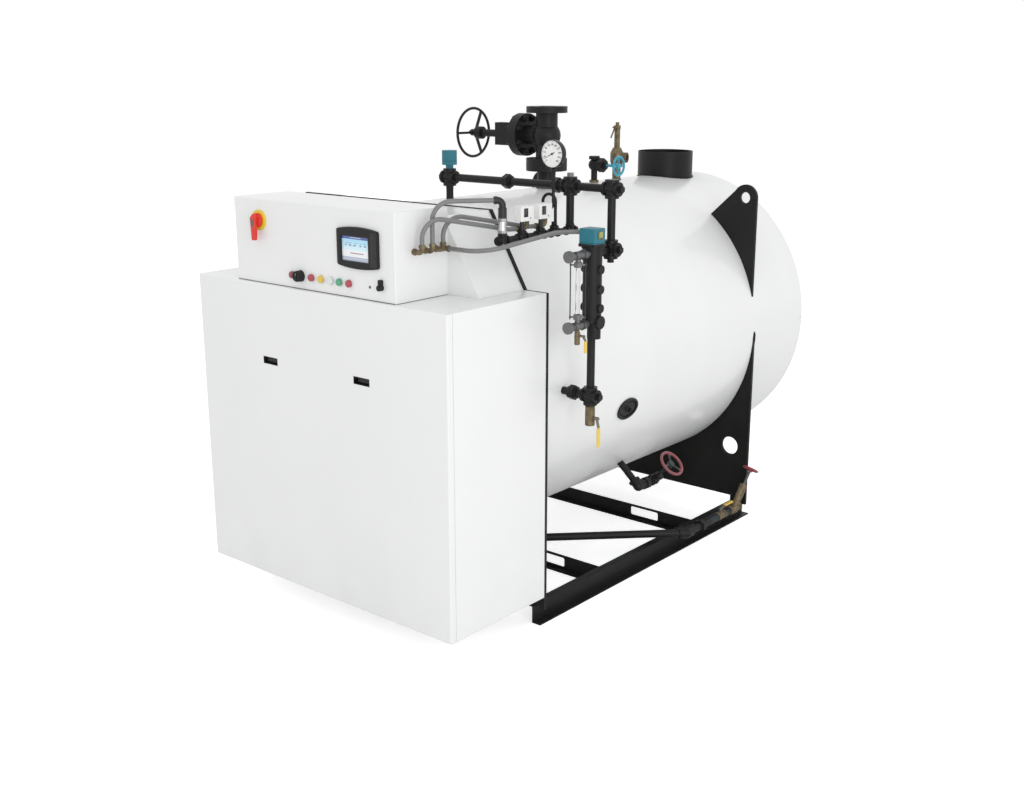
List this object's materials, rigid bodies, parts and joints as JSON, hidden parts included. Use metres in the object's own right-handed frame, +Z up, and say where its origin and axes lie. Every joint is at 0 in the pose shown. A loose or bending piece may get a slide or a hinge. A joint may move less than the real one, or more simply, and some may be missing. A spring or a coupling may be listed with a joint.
{
  "type": "industrial steam boiler, skid-mounted package",
  "caption": "Horizontal fire-tube steam boiler package: round jacketed shell on a steel skid, front burner cabinet, control box, steam valve, water column and trim piping.",
  "frame": {"origin": "centre of the underside of the front cross-member, at floor level on the centreline", "axes": "+X to the right seen from the front, +Y from the burner cabinet to the flue end, +Z up"},
  "size_m": [1.7216, 2.8653, 2.168],
  "materials": {
    "white_paint": "gloss white enamel",
    "black_paint": "satin black paint",
    "cast_iron": "black painted iron",
    "brass": "dull cast brass",
    "grey_metal": "plated steel",
    "grey_jacket": "grey conduit jacket",
    "teal_plastic": "teal cover",
    "cyan_paint": "cyan paint",
    "red_paint": "red paint",
    "red_plastic": "red handle",
    "yellow_plastic": "yellow sleeve",
    "black_plastic": "black moulding",
    "lamp_plastic": "coloured lamp lenses",
    "screen_glass": "lit display",
    "clear_glass": "clear gauge glass"
  },
  "bodies": {
    "boiler": {"burner_cabinet": "white_paint", "cabinet_pulls": "black_plastic", "front_plate": "black_paint", "burner_hood": "white_paint", "control_box": "white_paint", "screen_bezel": "black_plastic", "screen": "screen_glass", "disconnect_plate": "yellow_plastic", "pilot_lights": "lamp_plastic", "conduit_connectors": "brass", "conduits": "grey_jacket", "shell_jacket": "white_paint", "rear_end": "white_paint", "flue_outlet": "black_paint", "handhole_covers": "cast_iron", "rear_saddle": "black_paint", "lifting_lugs": "black_paint", "skid_rails": "black_paint", "cross_members": "black_paint", "steam_nozzle": "cast_iron", "steam_valve": "cast_iron", "steam_valve_yoke": "cast_iron", "steam_header": "cast_iron", "low_water_probe": "teal_plastic", "column_riser": "cast_iron", "water_column": "cast_iron", "column_head": "teal_plastic", "gauge_glass_cocks": "grey_metal", "gauge_glass": "clear_glass", "column_pipe": "cast_iron", "column_valve": "brass", "limit_manifold": "cast_iron", "manifold_valve": "grey_metal", "pressure_controls": "white_paint", "pressure_gauge": "black_plastic", "gauge_siphon": "cast_iron", "vent_valve": "cast_iron", "safety_valve": "brass", "blowdown_pipe": "cast_iron", "blowdown_valve": "cast_iron", "drain_pipe": "cast_iron", "drain_valve": "brass", "drain_wye_valve": "brass"},
    "main_steam_wheel": {"steam_handwheel": "cast_iron"},
    "vent_wheel": {"vent_handwheel": "cyan_paint"},
    "blowdown_wheel": {"blowdown_handwheel": "red_paint"},
    "drain_wheel": {"drain_handwheel": "red_paint"},
    "column_valve_lever": {"column_lever": "yellow_plastic"},
    "drain_valve_lever": {"drain_lever": "yellow_plastic"},
    "glass_valve_lever": {"glass_cock_lever": "yellow_plastic"},
    "safety_lever": {"relief_lever": "brass"},
    "disconnect": {"disconnect_handle": "red_plastic"},
    "selector": {"selector_knob": "black_plastic"}
  },
  "joints": [
    {"name": "main_steam_valve_turn", "type": "hinge", "parent": "boiler", "child": "main_steam_wheel", "pos_m": [-0.414, 0.407, 2.03], "axis": [-1, 0, 0], "continuous": true},
    {"name": "vent_valve_turn", "type": "hinge", "parent": "boiler", "child": "vent_wheel", "pos_m": [0.153, 0.802, 1.867], "axis": [1, 0, 0], "continuous": true},
    {"name": "blowdown_valve_turn", "type": "hinge", "parent": "boiler", "child": "blowdown_wheel", "pos_m": [0.621, 0.486, 0.38], "axis": [0.7071, 0, 0.7071], "continuous": true},
    {"name": "drain_wye_turn", "type": "hinge", "parent": "boiler", "child": "drain_wheel", "pos_m": [0.775, 1.03, 0.113], "axis": [0.1102, 0.5183, 0.848], "continuous": true},
    {"name": "column_valve_lever_turn", "type": "hinge", "parent": "boiler", "child": "column_valve_lever", "pos_m": [0.89, -0.414, 0.947], "axis": [1, 0, 0], "range_deg": [0, 90]},
    {"name": "glass_valve_lever_turn", "type": "hinge", "parent": "boiler", "child": "glass_valve_lever", "pos_m": [0.89, -0.51, 1.309], "axis": [-1, 0, 0], "range_deg": [0, 90]},
    {"name": "safety_valve_lift", "type": "hinge", "parent": "boiler", "child": "safety_lever", "pos_m": [0, 0.97781, 2.049], "axis": [-1, 0, 0], "range_deg": [0, 25]},
    {"name": "drain_valve_lever_turn", "type": "hinge", "parent": "boiler", "child": "drain_valve_lever", "pos_m": [0.775, 0.895, 0.113], "axis": [0, 0, 1], "range_deg": [0, 90]},
    {"name": "disconnect_turn", "type": "hinge", "parent": "boiler", "child": "disconnect", "pos_m": [-0.333, -1.102, 1.732], "axis": [0, -1, 0], "range_deg": [0, 90]},
    {"name": "selector_turn", "type": "hinge", "parent": "boiler", "child": "selector", "pos_m": [-0.085, -1.102, 1.522], "axis": [0, -1, 0], "range_deg": [-60, 60]}
  ]
}
